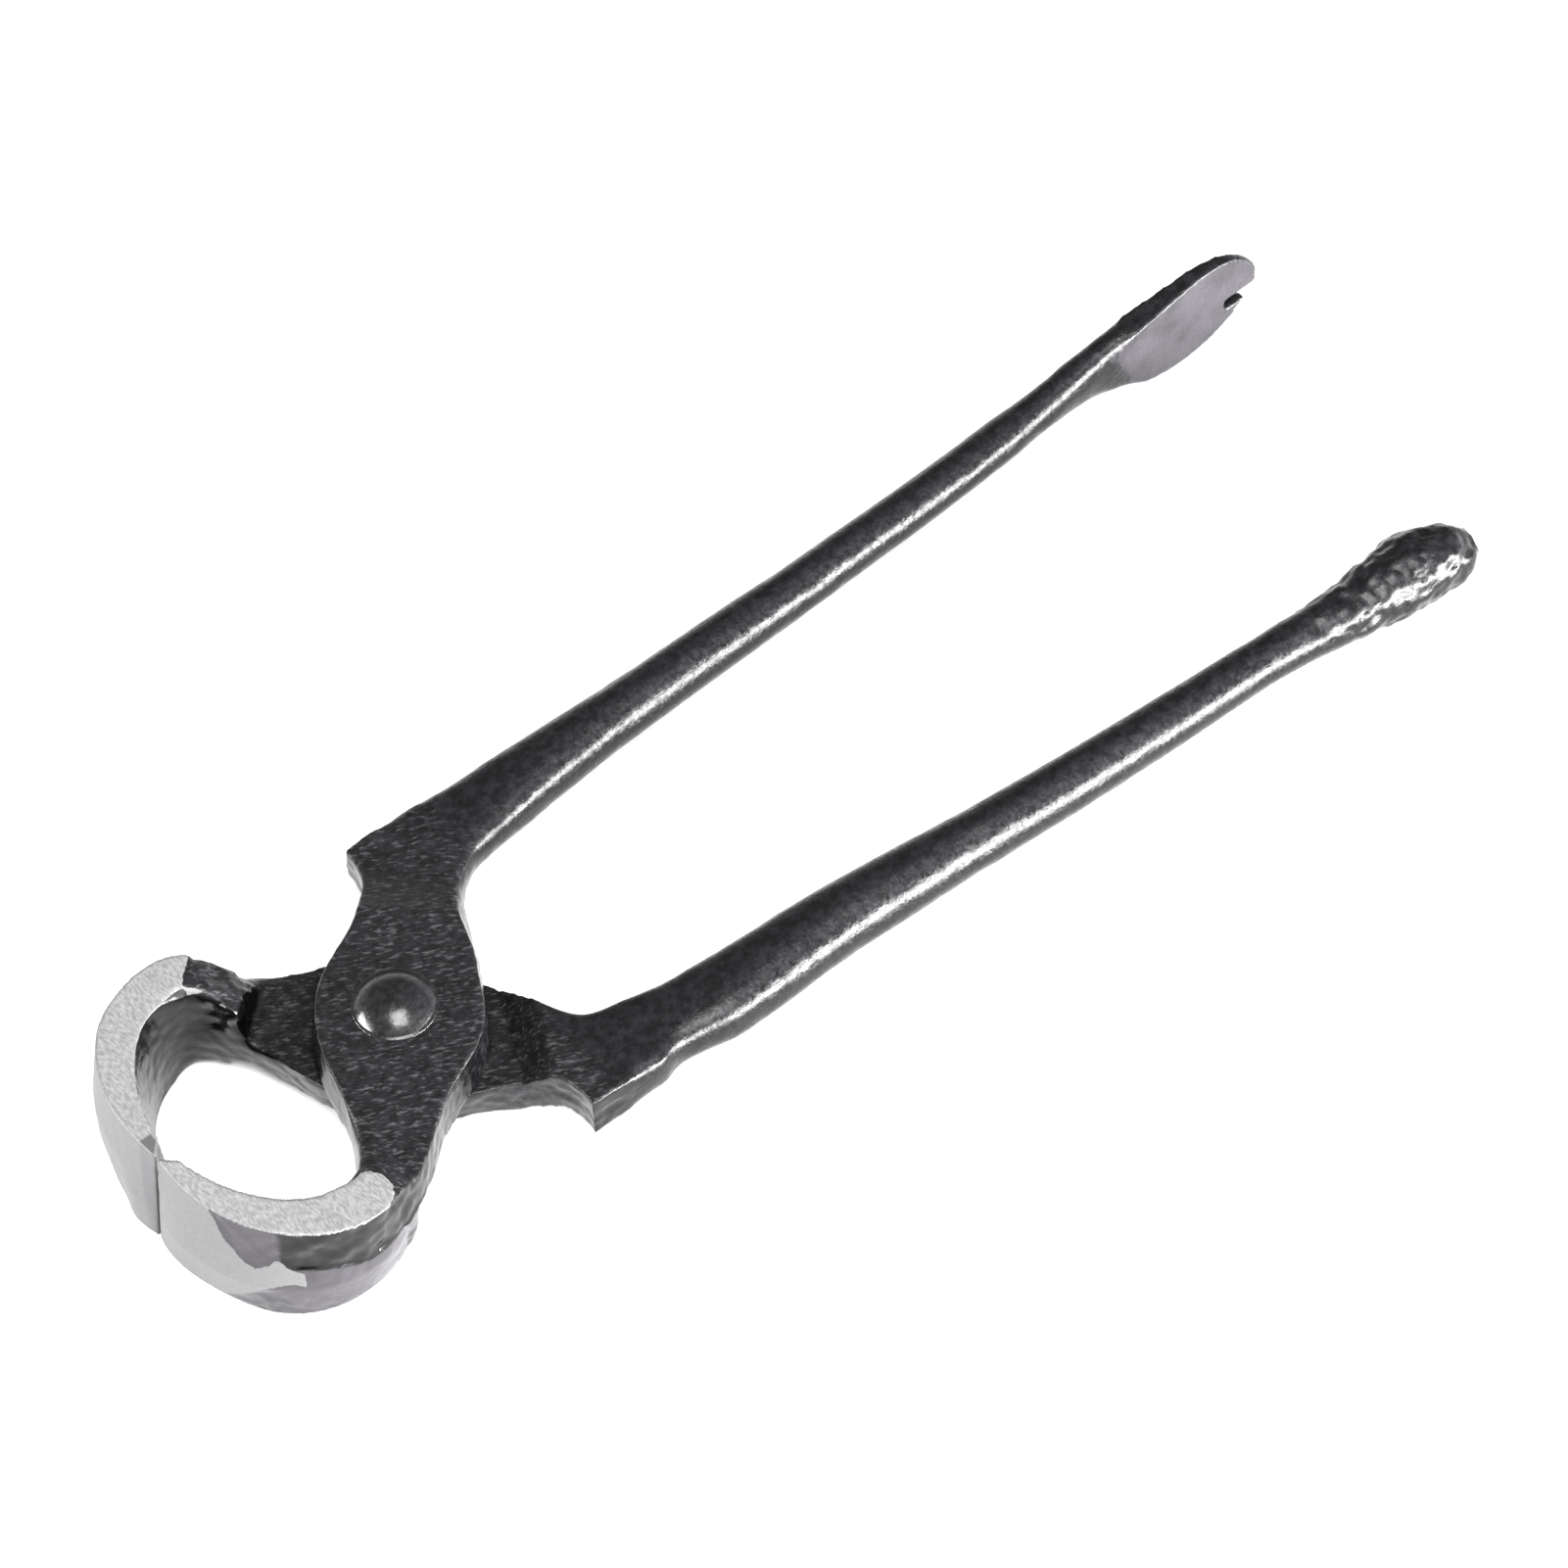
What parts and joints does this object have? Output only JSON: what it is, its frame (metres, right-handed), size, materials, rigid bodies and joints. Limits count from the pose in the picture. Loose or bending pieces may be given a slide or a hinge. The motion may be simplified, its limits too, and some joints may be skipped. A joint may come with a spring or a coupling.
{
  "type": "hoof nipper",
  "caption": "Forged farrier's hoof nipper: curved cutting jaws, lap joint on one domed rivet, round reins ending in a nail claw and a knob.",
  "frame": {"origin": "middle of the closed tool's bounding box, on the plane that its jaws rest on", "axes": "+X from the jaws towards the rein ends, +Z along the rivet towards its domed head, +Y to the side of the rein with the nail claw"},
  "size_m": [0.26, 0.078, 0.0222],
  "materials": {
    "black_forging": "gloss black lacquer over forging scale, jaws ground bright",
    "rivet": "gloss black lacquer over a hammered head"
  },
  "bodies": {
    "claw_half": {"claw_lever": "black_forging", "pivot_rivet": "rivet"},
    "knob_half": {"knob_lever": "black_forging"}
  },
  "joints": [
    {"name": "rivet_pivot", "type": "hinge", "parent": "claw_half", "child": "knob_half", "pos_m": [-0.07902, 0.00517, 0.0106], "axis": [0, 0, -1], "range_deg": [0, 32]}
  ]
}
